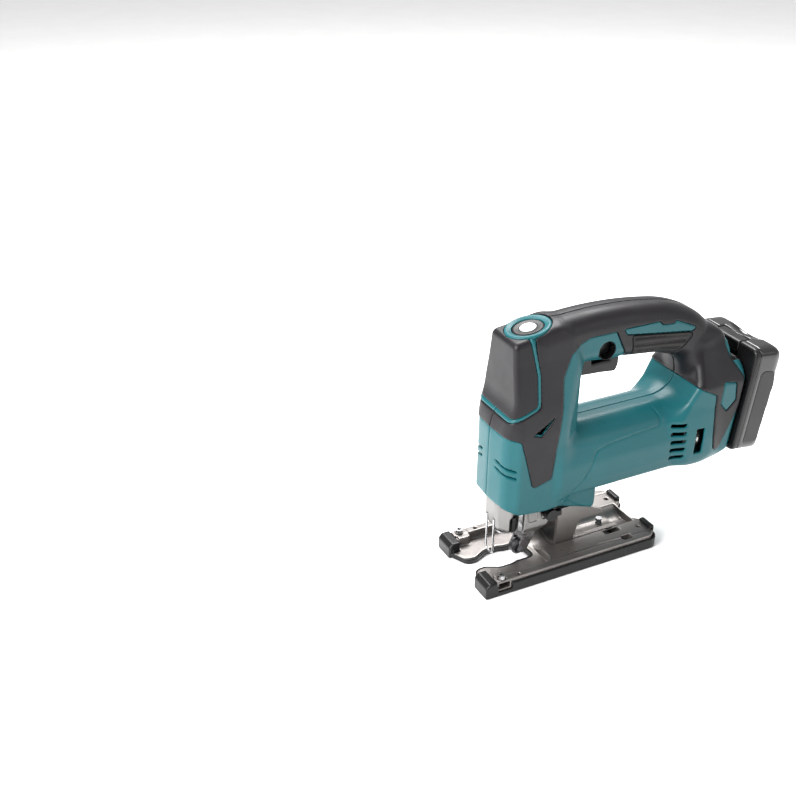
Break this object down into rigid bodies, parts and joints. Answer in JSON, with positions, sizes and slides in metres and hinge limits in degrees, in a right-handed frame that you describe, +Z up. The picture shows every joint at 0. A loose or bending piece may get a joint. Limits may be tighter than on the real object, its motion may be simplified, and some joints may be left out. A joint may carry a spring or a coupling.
{
  "type": "cordless jigsaw",
  "caption": "Cordless D-handle jigsaw with a tilting base, reciprocating plunger, guide roller, trigger and slide-on battery.",
  "frame": {"origin": "under the middle of the whole tool, on the surface its base stands on", "axes": "-X is the tool's front (blade end), -Y its left side, +Z up"},
  "size_m": [0.2634, 0.077, 0.2077],
  "materials": {
    "teal_plastic": "satin moulded plastic",
    "grey_rubber": "soft matt overmould",
    "cast_aluminium": "die cast, fine grain",
    "windings": "lacquered windings on a laminated core",
    "cell_wrap": "cell sleeves",
    "gloss_black": "glossy moulded plastic",
    "black_plastic": "fine textured plastic",
    "steel": "machined steel"
  },
  "bodies": {
    "base": {"base_plate": "cast_aluminium", "base_cover": "black_plastic", "left_rule_screw": "steel", "right_rule_screw": "steel"},
    "tool": {"left_housing": "teal_plastic", "right_housing": "teal_plastic", "left_overmould": "grey_rubber", "right_overmould": "grey_rubber", "left_grip_insert": "grey_rubber", "right_grip_insert": "grey_rubber", "front_cap": "grey_rubber", "button_ring": "teal_plastic", "housing_screw_1": "steel", "housing_screw_2": "steel", "housing_screw_3": "steel", "housing_screw_4": "steel", "housing_screw_5": "steel", "switch_body": "black_plastic", "trigger_spring": "steel", "dial_potentiometer": "black_plastic", "controller": "black_plastic", "battery_terminals": "black_plastic", "motor_stator": "windings", "front_motor_bearing": "steel", "rear_motor_bearing": "steel", "gear_housing": "cast_aluminium", "gear_shaft": "steel", "upper_bush": "steel", "lower_bush": "steel", "arm_pivot_pin": "steel", "guard_wire": "steel", "bevel_bracket": "cast_aluminium", "base_bolt": "steel"},
    "trigger": {"trigger": "black_plastic"},
    "lock_pin": {"lock_pin": "black_plastic"},
    "power_button": {"power_button": "black_plastic"},
    "speed_dial": {"speed_dial": "black_plastic"},
    "rotor": {"rotor": "steel", "cooling_fan": "black_plastic"},
    "crank_gear": {"crank_gear": "steel"},
    "counterweight": {"counterweight": "cast_aluminium"},
    "plunger": {"plunger": "steel", "blade_clamp": "steel"},
    "clamp_collar": {"clamp_collar": "black_plastic"},
    "roller_arm": {"roller_arm": "steel", "roller_pin": "steel"},
    "guide_roller": {"guide_roller": "steel"},
    "orbital_lever": {"orbital_lever": "black_plastic"},
    "battery": {"battery_case": "gloss_black", "battery_lid": "gloss_black", "cell_pack": "cell_wrap"},
    "battery_latch": {"battery_latch": "gloss_black"}
  },
  "joints": [
    {"name": "bevel_tilt", "type": "hinge", "parent": "base", "child": "tool", "pos_m": [-0.13171, 0, 0.0215], "axis": [1, 0, 0], "range_deg": [-45, 45]},
    {"name": "trigger_press", "type": "slide", "parent": "tool", "child": "trigger", "axis": [0, 0, 1], "range_m": [0, 0.0045], "stiffness_N_per_m": 1200, "deforming": ["trigger_spring"]},
    {"name": "lock_pin_slide", "type": "slide", "parent": "tool", "child": "lock_pin", "axis": [0, -1, 0], "range_m": [0, 0.005]},
    {"name": "power_button_press", "type": "slide", "parent": "tool", "child": "power_button", "axis": [0.1908, 0, -0.9816], "range_m": [0, 0.001], "stiffness_N_per_m": 2000},
    {"name": "speed_dial_turn", "type": "hinge", "parent": "tool", "child": "speed_dial", "pos_m": [0.05929, -0.0195, 0.088], "axis": [1, 0, 0], "range_deg": [0, 270]},
    {"name": "rotor_spin", "type": "hinge", "parent": "tool", "child": "rotor", "pos_m": [-0.03171, 0, 0.091], "axis": [1, 0, 0], "continuous": true},
    {"name": "crank_spin", "type": "hinge", "parent": "tool", "child": "crank_gear", "pos_m": [-0.07571, 0, 0.117], "axis": [1, 0, 0], "continuous": true},
    {"name": "plunger_stroke", "type": "slide", "parent": "tool", "child": "plunger", "axis": [0, 0, 1], "range_m": [-0.013, 0.013]},
    {"name": "counterweight_stroke", "type": "slide", "parent": "tool", "child": "counterweight", "axis": [0, 0, 1], "range_m": [-0.006, 0.006]},
    {"name": "clamp_collar_turn", "type": "hinge", "parent": "plunger", "child": "clamp_collar", "pos_m": [-0.09371, 0, 0.04], "axis": [0, 0, 1], "range_deg": [0, 60], "stiffness_Nm_per_rad": 0.05},
    {"name": "orbital_swing", "type": "hinge", "parent": "tool", "child": "roller_arm", "pos_m": [-0.07171, 0, 0.057], "axis": [0, 1, 0], "range_deg": [0, 2], "stiffness_Nm_per_rad": 8},
    {"name": "roller_spin", "type": "hinge", "parent": "roller_arm", "child": "guide_roller", "pos_m": [-0.08171, 0, 0.0105], "axis": [0, 1, 0], "continuous": true},
    {"name": "orbital_lever_turn", "type": "hinge", "parent": "tool", "child": "orbital_lever", "pos_m": [-0.06571, -0.018, 0.047], "axis": [0, 1, 0], "range_deg": [0, 60]},
    {"name": "battery_slide", "type": "slide", "parent": "tool", "child": "battery", "axis": [0.1219, 0, 0.9925], "range_m": [0, 0.09]},
    {"name": "battery_latch_press", "type": "slide", "parent": "battery", "child": "battery_latch", "axis": [-0.1219, 0, -0.9925], "range_m": [0, 0.003], "stiffness_N_per_m": 900}
  ],
  "couplings": [
    {"joint": "crank_spin", "follows": "rotor_spin", "ratio": -0.18182},
    {"joint": "counterweight_stroke", "follows": "plunger_stroke", "ratio": -0.46}
  ]
}
